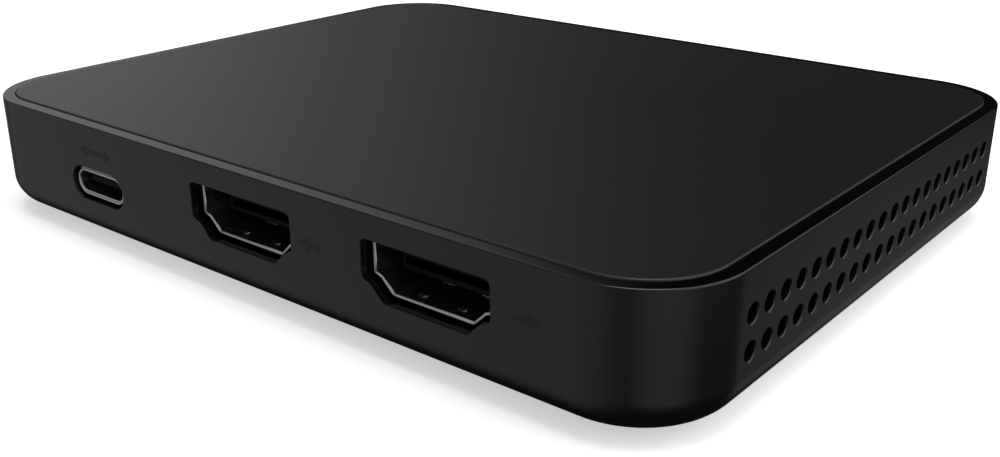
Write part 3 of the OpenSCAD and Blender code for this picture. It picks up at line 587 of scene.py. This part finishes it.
def vent_tree():
    tree = tree_with_inputs("vent_rows", VENT_SIZES, "Holes per row")
    given = add(tree, "NodeGroupInput").outputs
    grid = add(tree, "GeometryNodeMeshGrid", {
        "Size X": given["Row length"], "Size Y": given["Row gap"],
        "Vertices X": given["Holes per row"], "Vertices Y": VENT_ROWS,
    })
    place = add(tree, "ShaderNodeCombineXYZ", {"X": given["Wall face"], "Z": given["Middle height"]})
    upright = add(tree, "GeometryNodeTransform", {
        "Geometry": grid.outputs["Mesh"], "Translation": place.outputs["Vector"],
        "Rotation": (math.pi / 2, 0, math.pi / 2),
    })
    drill = add(tree, "GeometryNodeMeshCylinder", {
        "Vertices": VENT_SIDES, "Radius": given["Hole radius"], "Depth": given["Drill length"],
    })
    countersink = add(tree, "GeometryNodeMeshCone", {
        "Vertices": VENT_SIDES, "Radius Bottom": given["Hole radius"],
        "Radius Top": given["Countersink radius"], "Depth": given["Countersink depth"],
    })
    # Half of the cone lies in the wall and half stands out of it
    cone_height = add(tree, "ShaderNodeCombineXYZ", {"Z": given["Countersink depth"]})
    half_in = add(tree, "ShaderNodeVectorMath", {
        "Vector": cone_height.outputs["Vector"], "Scale": -0.5,
    }, operation="SCALE")
    sunk = add(tree, "GeometryNodeTransform", {
        "Geometry": countersink.outputs["Mesh"], "Translation": half_in.outputs["Vector"],
    })
    body = given["Geometry"]
    for tool in (drill.outputs["Mesh"], sunk.outputs["Geometry"]):
        row = add(tree, "GeometryNodeInstanceOnPoints", {
            "Points": upright.outputs["Geometry"], "Instance": tool, "Rotation": (0, math.pi / 2, 0),
        })
        one_side = add(tree, "GeometryNodeRealizeInstances", {"Geometry": row.outputs["Instances"]})
        other_side = add(tree, "GeometryNodeTransform", {
            "Geometry": one_side.outputs["Geometry"], "Rotation": (0, 0, math.pi),
        })
        both = add(tree, "GeometryNodeJoinGeometry", {
            "Geometry": [one_side.outputs["Geometry"], other_side.outputs["Geometry"]],
        })
        cut = add(tree, "GeometryNodeMeshBoolean", {
            "Mesh 1": body, "Mesh 2": [both.outputs["Geometry"]],
        }, operation="DIFFERENCE", solver="EXACT")
        body = cut.outputs["Mesh"]
    position = add(tree, "GeometryNodeInputPosition").outputs["Position"]
    spot = add(tree, "ShaderNodeSeparateXYZ", {"Vector": position})
    on_rim = add(tree, "FunctionNodeCompare", {"A": spot.outputs["Z"], "B": given["Rim height"]})
    grained = add(tree, "GeometryNodeSetMaterial", {"Geometry": body, "Material": case_satin})
    done = add(tree, "GeometryNodeSetMaterial", {
        "Geometry": grained.outputs["Geometry"], "Selection": on_rim.outputs["Result"],
        "Material": rim_polish,
    })
    add(tree, "NodeGroupOutput", {"Geometry": done.outputs["Geometry"]})
    return tree


print("Vent tree with", len(VENT_SIZES), "named sizes")

# %% [markdown]
# ## Drilling
# The vents are 1.9 mm wide and 3 mm apart, as many as fit between the round corners, and the mould
# leaves a tiny broken edge on each. The tree's inputs are set by their sockets' identifiers, which
# stay the same when a name is changed, and the result is kept as a plain mesh like the others.

# %% Drill the vents
VENT_D = 1.9
VENT_PITCH = 3.0
VENT_ROW_GAP = 3.5
VENT_MIDDLE = CASE_Z + 7.6
VENT_END = 1.7
VENT_COUNT = int((CASE_D - 2 * CORNER_R - 2 * VENT_END) / VENT_PITCH) + 1
DRILL_L = 4 * WALL
BROKEN_EDGE = 0.12
CONE_H = 2 * BROKEN_EDGE
RIM_SHOWS = CASE_TOP - RIM_R


def run_tree(piece, tree, values):
    modifier = piece.modifiers.new(tree.name, "NODES")
    modifier.node_group = tree
    sockets = {item.name: item.identifier for item in tree.interface.items_tree if item.in_out == "INPUT"}
    for name, value in values.items():
        modifier[sockets[name]] = value
    keep_result(piece)


run_tree(case, vent_tree(), {
    "Holes per row": VENT_COUNT,
    "Row length": (VENT_COUNT - 1) * VENT_PITCH * MM,
    "Row gap": VENT_ROW_GAP * MM,
    "Wall face": CASE_W / 2 * MM,
    "Middle height": VENT_MIDDLE * MM,
    "Hole radius": VENT_D / 2 * MM,
    "Drill length": DRILL_L * MM,
    "Countersink depth": CONE_H * MM,
    "Countersink radius": (VENT_D / 2 + CONE_H) * MM,
    "Rim height": RIM_SHOWS * MM,
})
print("Vents per row:", VENT_COUNT, "case faces:", len(case.data.polygons))

# %% [markdown]
# ## Hand the case over
# Flat walls should look flat and round edges round, so faces are smooth except across sharp angles,
# and weighted normals let the large faces decide. Then the case takes its CAD node's place: it rides
# on the one body, keeps its own two finishes and hides the plainer solid. A sound mesh has no open
# edge, so these are counted and printed.

# %% Shade and hand over
SHARP_DEG = 32


def shade(piece):
    piece.data.shade_smooth()
    piece.data.set_sharp_from_angle(angle=math.radians(SHARP_DEG))
    modifier = piece.modifiers.new("weights", "WEIGHTED_NORMAL")
    modifier.keep_sharp = True
    keep_result(piece)


def open_edges(piece):
    mesh = bmesh.new()
    mesh.from_mesh(piece.data)
    count = sum(not edge.is_manifold for edge in mesh.edges)
    mesh.free()
    return count


shade(case)
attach(case, "root")
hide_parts("lower_case")
finishes = [material.name for material in case.data.materials]
print("Case finishes:", finishes, "open edges:", open_edges(case))

# %% [markdown]
# ## The cover
# The cover drops into the tub and stands a hair proud of the rim. Its upper edge is broken by a small
# radius, which draws the thin bright line along the right side. Below it, a lip finds the ledge, cut
# away over the two display sockets, and four posts take the screws. It is made as the tub is.

# %% Make the cover
COVER_GAP = 0.05
COVER_INSET = WALL + COVER_GAP
COVER_EDGE_R = 0.25
LIP_GAP = 0.15
LIP_OUT = WALL + LEDGE_W + LIP_GAP
LIP_W = 1.0
LIP_H = 1.0
NOTCH_W = 2 * (DISPLAY_W / 2 + SHELL_T + CLEARANCE["display_in"])
NOTCH_D = LIP_OUT - WALL + LIP_W + PAST
NOTCHES = [(PORT_X[socket], FRONT_Y + WALL + NOTCH_D / 2, COVER_UNDER - LIP_H) for socket in DISPLAYS]
cover_section = [
    *arc((COVER_INSET + COVER_EDGE_R, COVER_TOP - COVER_EDGE_R), COVER_EDGE_R, 90, 180, steps=6),
    (COVER_INSET, COVER_UNDER),
    (LIP_OUT, COVER_UNDER),
    (LIP_OUT, COVER_UNDER - LIP_H),
    (LIP_OUT + LIP_W, COVER_UNDER - LIP_H),
    (LIP_OUT + LIP_W, COVER_UNDER),
]
cover = to_object(skin([ring(inset, z) for inset, z in cover_section]), "cover_panel", cover_matte)
boolean(cover, "UNION", [rods(POSTS, POST_D, POST_TOP, COVER_UNDER + COVER_T / 2)])
boolean(cover, "DIFFERENCE", [
    rods(POSTS, GRIP_HOLE_D, POST_TOP - PAST, COVER_UNDER),
    blocks(NOTCHES, (NOTCH_W, NOTCH_D, 2 * LIP_H)),
])
shade(cover)
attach(cover, "root")
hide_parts("top_cover")
print("Cover faces:", len(cover.data.polygons), "open edges:", open_edges(cover))

# %% [markdown]
# ## A tree for the socket mouths
# The steel of each shell is rolled over at its mouth, so that a plug finds its way in, and that small
# round edge is what shines in the picture. It follows a path, so Geometry Nodes make it: the mouth's
# outline becomes a curve, a circle a little wider than the sheet runs along it, and the tube is
# nickel like the shell.

# %% The mouth tree
ROLL_SIDES = 12


def mouth_tree():
    tree = tree_with_inputs("rolled_mouths", ["Edge radius"])
    given = add(tree, "NodeGroupInput").outputs
    path = add(tree, "GeometryNodeMeshToCurve", {"Mesh": given["Geometry"]})
    circle = add(tree, "GeometryNodeCurvePrimitiveCircle", {
        "Resolution": ROLL_SIDES, "Radius": given["Edge radius"],
    })
    tube = add(tree, "GeometryNodeCurveToMesh", {
        "Curve": path.outputs["Curve"], "Profile Curve": circle.outputs["Curve"],
    })
    real = add(tree, "GeometryNodeRealizeInstances", {"Geometry": tube.outputs["Mesh"]})
    plated_tube = add(tree, "GeometryNodeSetMaterial", {
        "Geometry": real.outputs["Geometry"], "Material": shell_nickel,
    })
    add(tree, "NodeGroupOutput", {"Geometry": plated_tube.outputs["Geometry"]})
    return tree


print("Mouth tree with a circle of", ROLL_SIDES, "sides")

# %% [markdown]
# ## Rolled mouths
# The tree needs only edges to follow. So the three outlines, taken at the middle of the sheet and a
# little behind its front, are drawn as loops of edges in one mesh, and one run makes all three.

# %% Roll the mouths
ROLL_R = 0.22
ROLL_BACK = 0.1
outlines = bmesh.new()
for socket in SOCKETS:
    roll_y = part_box(f"{socket}_shell")[0].y / MM + ROLL_BACK
    loop = [outlines.verts.new(point * MM) for point in port_ring(socket, roll_y, SHELL_T / 2)]
    for i in range(len(loop)):
        outlines.edges.new((loop[i - 1], loop[i]))
mouths = to_object(outlines, "rolled_mouths", shell_nickel)
run_tree(mouths, mouth_tree(), {"Edge radius": ROLL_R * MM})
mouths.data.shade_smooth()
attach(mouths, "root")
print("Rolled mouths:", len(mouths.data.polygons), "faces, open edges:", open_edges(mouths))

# %% [markdown]
# ## Port marks
# Each socket has a faint printed mark beside it. Here they are plain arrows: into the first display
# socket, out of the second, and both ways over the data socket. A pad print is a film of ink a few
# hundredths of a millimetre thick, so each mark is a thin plate that sits on the wall.

# %% Print the marks
INK_T = 0.02
MARK_L = 3.0
MARK_H = 1.5
SHAFT_H = 0.55
HEAD_L = 1.3
DATA_MARK_L = 6.0
MARK_Z = {"display_in": 8.7, "display_out": 8.7, "data": 10.8}
MARK_X = {"display_in": 10.4, "display_out": 11.6, "data": 0.2}


def one_way(tip, tail):
    neck = tip + HEAD_L * (1 if tail > tip else -1)
    half = [(tip, 0), (neck, MARK_H / 2), (neck, SHAFT_H / 2), (tail, SHAFT_H / 2)]
    return half + [(x, -z) for x, z in reversed(half[1:])]


def two_way(length):
    neck = length / 2 - HEAD_L
    right_head = [(neck, SHAFT_H / 2), (neck, MARK_H / 2)]
    upper = [(-x, z) for x, z in reversed(right_head)] + right_head
    lower = [(x, -z) for x, z in reversed(upper)]
    return [(-length / 2, 0), *upper, (length / 2, 0), *lower]


MARKS = {
    "display_in": one_way(-MARK_L / 2, MARK_L / 2),
    "display_out": one_way(MARK_L / 2, -MARK_L / 2),
    "data": two_way(DATA_MARK_L),
}
print_film = bmesh.new()
for socket, outline in MARKS.items():
    middle_x = PORT_X[socket] + MARK_X[socket]
    middle_z = CASE_Z + MARK_Z[socket]
    face = print_film.faces.new([
        print_film.verts.new(Vector((middle_x + x, FRONT_Y, middle_z + z)) * MM) for x, z in outline
    ])
    raised = bmesh.ops.extrude_face_region(print_film, geom=[face])
    moved = [item for item in raised["geom"] if isinstance(item, bmesh.types.BMVert)]
    bmesh.ops.translate(print_film, verts=moved, vec=(0, -INK_T * MM, 0))
bmesh.ops.recalc_face_normals(print_film, faces=print_film.faces)
marks = to_object(print_film, "port_marks", mark_ink)
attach(marks, "root")
print("Port marks:", len(MARKS), "open edges:", open_edges(marks))

# %% [markdown]
# ## The table
# The box lies on plain white paper. The paper is lit like anything else and takes the box's shadow;
# rays that come straight from the camera, or through something clear, also see it glow a little, which
# lifts it to white. Reflections look past the paper, at the pale cards of the next step.

# %% Lay the paper
PAPER_SIZE_M = 6.0
PAPER_GLOW = 0.5
sheet = bmesh.new()
bmesh.ops.create_grid(sheet, x_segments=1, y_segments=1, size=PAPER_SIZE_M / 2)
white_paper = bpy.data.materials.new("white_paper")
white_paper.use_nodes = True
paper = white_paper.node_tree
ray = add(paper, "ShaderNodeLightPath")
seen = add(paper, "ShaderNodeMath", {
    0: ray.outputs["Is Camera Ray"], 1: ray.outputs["Is Transmission Ray"],
}, operation="MAXIMUM")
glow = add(paper, "ShaderNodeMath", {0: seen.outputs["Value"], 1: PAPER_GLOW}, operation="MULTIPLY")
paper_shader = paper.nodes["Principled BSDF"]
paper_shader.inputs["Base Color"].default_value = linear("#f7f7f7")
paper_shader.inputs["Roughness"].default_value = 0.9
paper_shader.inputs["Specular IOR Level"].default_value = 0.0
paper_shader.inputs["Emission Color"].default_value = linear("#ffffff")
paper.links.new(glow.outputs["Value"], paper_shader.inputs["Emission Strength"])
table = to_object(sheet, "paper", white_paper)
table.visible_glossy = False
print("Paper", PAPER_SIZE_M, "m wide")

# %% [markdown]
# ## The studio
# A black box is seen by what it mirrors, so the light is a set of soft boxes in the sky rather than
# lamps. Each is written as a direction, an inner and an outer angle and a level. The ceiling gives the
# general level and the shadow. A strip at the left and a low core beside it draw the slow gradient on
# the top and the gloss of the rim, a wide one at the back right draws the bright line along the right
# edge, and a weak fill comes from the front. Three pale cards below the horizon are what the upright
# walls mirror: the dark gaps between them shape the round corner.

# %% Soft boxes and cards
# Azimuth from +X, elevation, inner and outer angle in degrees, and level
SOFT_BOXES = {
    "ceiling": (80, 87, 3, 23, 4.8),
    "left strip": (158, 34, 2, 35, 0.67),
    "left core": (154, -6, 6, 19, 1.2),
    "back right": (24, 32, 15, 56, 1.45),
    "front fill": (-86, 48, 20, 56, 0.29),
    "front card": (-125, -8, 16, 65, 0.36),
    "corner card": (-31, -7, 12, 44, 0.46),
    "right card": (77, -28, 1, 17, 0.21),
}
AMBIENT = 0.01
world = bpy.data.worlds.new("studio")
world.use_nodes = True
bpy.context.scene.world = world
sky = world.node_tree
look = add(sky, "ShaderNodeTexCoord").outputs["Generated"]
total = AMBIENT
for azimuth, elevation, inner, outer, level in SOFT_BOXES.values():
    a, e = math.radians(azimuth), math.radians(elevation)
    aim = (math.cos(a) * math.cos(e), math.sin(a) * math.cos(e), math.sin(e))
    near = add(sky, "ShaderNodeVectorMath", {0: look, 1: aim}, operation="DOT_PRODUCT")
    soft = add(sky, "ShaderNodeMapRange", {
        "Value": near.outputs["Value"], "From Min": math.cos(math.radians(outer)),
        "From Max": math.cos(math.radians(inner)), "To Max": level,
    }, interpolation_type="SMOOTHSTEP")
    summed = add(sky, "ShaderNodeMath", {0: soft.outputs["Result"], 1: total}, operation="ADD")
    total = summed.outputs["Value"]
sky_ray = add(sky, "ShaderNodeLightPath")
plain_view = add(sky, "ShaderNodeMath", {
    0: sky_ray.outputs["Is Camera Ray"], 1: sky_ray.outputs["Is Transmission Ray"],
}, operation="MAXIMUM")
strength = add(sky, "ShaderNodeMix", {"Factor": plain_view.outputs["Value"], "A": total, "B": 1.0})
sky.links.new(strength.outputs["Result"], sky.nodes["Background"].inputs["Strength"])
sky.nodes["Background"].inputs["Color"].default_value = linear("#ffffff")
bpy.context.scene.view_settings.view_transform = "Standard"
print("Studio with", len(SOFT_BOXES), "soft boxes and cards")
